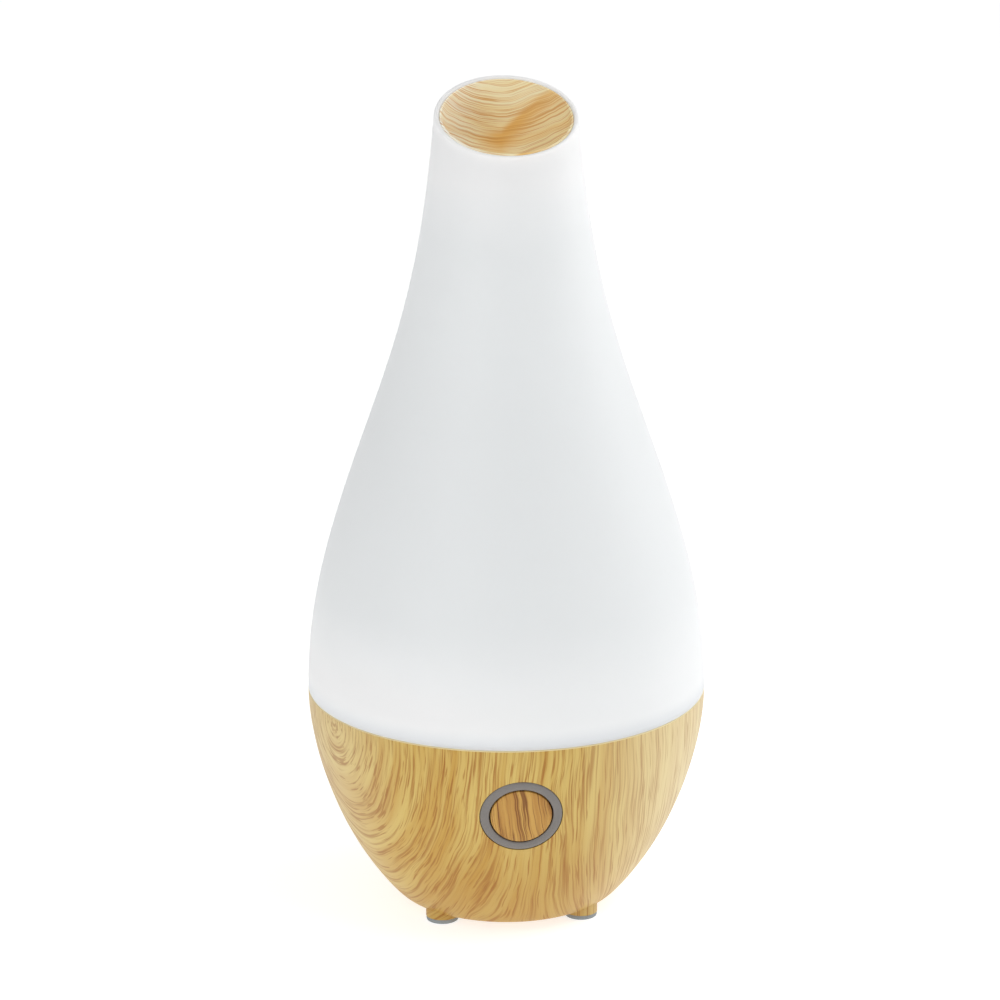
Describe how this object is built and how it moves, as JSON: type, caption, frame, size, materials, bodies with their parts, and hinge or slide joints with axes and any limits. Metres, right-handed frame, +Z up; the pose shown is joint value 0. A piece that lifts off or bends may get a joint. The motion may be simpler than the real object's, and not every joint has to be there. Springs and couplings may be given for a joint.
{
  "type": "essential oil diffuser",
  "caption": "Vase-shaped ultrasonic aroma diffuser: frosted white cover with a slanted wood-grain funnel mouth on a wood-grain bowl with a round button and small feet.",
  "frame": {"origin": "on the vase's axis, on the table under the foot pads", "axes": "+Z up along the vase's axis; -Y is the front with the button and the low side of the mouth; +X is the viewer's right"},
  "size_m": [0.101, 0.101, 0.2114],
  "materials": {
    "bowl_wood_print": "light oak grain print under a satin coat",
    "cap_wood_print": "darker oak grain print, satin",
    "funnel_wood_print": "light oak grain print, satin",
    "foot_rubber": "grey, matte",
    "ring_grey_plastic": "warm grey, satin",
    "frosted_cover_plastic": "white translucent, finely frosted",
    "guide_plastic": "white, smooth",
    "tank_plastic": "white, smooth",
    "seal_silicone": "translucent white silicone",
    "disc_steel": "thin stainless disc",
    "piezo_ceramic": "silvered ceramic",
    "clamp_plastic": "white, moulded",
    "screw_steel": "zinc plated",
    "white_circuit_board": "white solder mask",
    "led_chip": "white case with a yellow phosphor face",
    "circuit_board": "green solder mask",
    "sink_aluminium": "extruded, plain",
    "black_component": "black epoxy",
    "coil_ferrite": "dark ferrite",
    "capacitor_aluminium": "plain can",
    "connector_plastic": "natural nylon",
    "fan_plastic": "black, moulded",
    "bush_brass": "sintered",
    "stator_copper": "enamelled copper winding",
    "magnet_ferrite": "bonded ferrite",
    "shaft_steel": "ground",
    "jack_plastic": "black, moulded",
    "jack_pin_metal": "nickel plated",
    "switch_plastic": "black, moulded",
    "plunger_plastic": "grey, moulded",
    "lead_sleeve": "black sleeve"
  },
  "bodies": {
    "base": {"base_bowl": "bowl_wood_print", "foot_pad_front_left": "foot_rubber", "foot_pad_front_right": "foot_rubber", "foot_pad_rear_left": "foot_rubber", "foot_pad_rear_right": "foot_rubber", "button_ring": "ring_grey_plastic", "water_tank": "tank_plastic", "tank_gasket": "seal_silicone", "transducer_seal": "seal_silicone", "transducer_plate": "disc_steel", "piezo_element": "piezo_ceramic", "transducer_clamp": "clamp_plastic", "case_screws": "screw_steel", "clamp_screws": "screw_steel", "board_screws": "screw_steel", "fan_screws": "screw_steel", "jack_board_screws": "screw_steel", "switch_board_screws": "screw_steel", "led_board": "white_circuit_board", "led_chips": "led_chip", "main_board": "circuit_board", "jack_board": "circuit_board", "switch_board": "circuit_board", "heat_sink": "sink_aluminium", "power_transistor": "black_component", "inductor_coils": "coil_ferrite", "capacitors": "capacitor_aluminium", "controller_chip": "black_component", "lead_connectors": "connector_plastic", "fan_frame": "fan_plastic", "fan_bush": "bush_brass", "fan_stator": "stator_copper", "dc_jack": "jack_plastic", "dc_jack_pin": "jack_pin_metal", "switch_body": "switch_plastic", "power_lead": "lead_sleeve", "fan_lead": "lead_sleeve", "led_lead": "lead_sleeve", "transducer_lead": "lead_sleeve", "switch_lead": "lead_sleeve"},
    "cover": {"cover_shell": "frosted_cover_plastic", "mouth_funnel": "funnel_wood_print"},
    "mist_guide": {"mist_guide": "guide_plastic"},
    "button": {"button_cap": "cap_wood_print", "switch_plunger": "plunger_plastic"},
    "fan_rotor": {"fan_rotor": "fan_plastic", "rotor_magnet": "magnet_ferrite", "fan_shaft": "shaft_steel"}
  },
  "joints": [
    {"name": "cover_lift", "type": "slide", "parent": "base", "child": "cover", "axis": [0, 0, 1], "range_m": [0, 0.095]},
    {"name": "mist_guide_lift", "type": "slide", "parent": "base", "child": "mist_guide", "axis": [0, 0, 1], "range_m": [0, 0.004]},
    {"name": "button_press", "type": "slide", "parent": "base", "child": "button", "axis": [0, 0.9659, 0.2588], "range_m": [0, 0.0005], "stiffness_N_per_m": 800},
    {"name": "fan_spin", "type": "hinge", "parent": "base", "child": "fan_rotor", "pos_m": [0, 0, 0.0115], "axis": [0, 0, 1], "continuous": true}
  ]
}
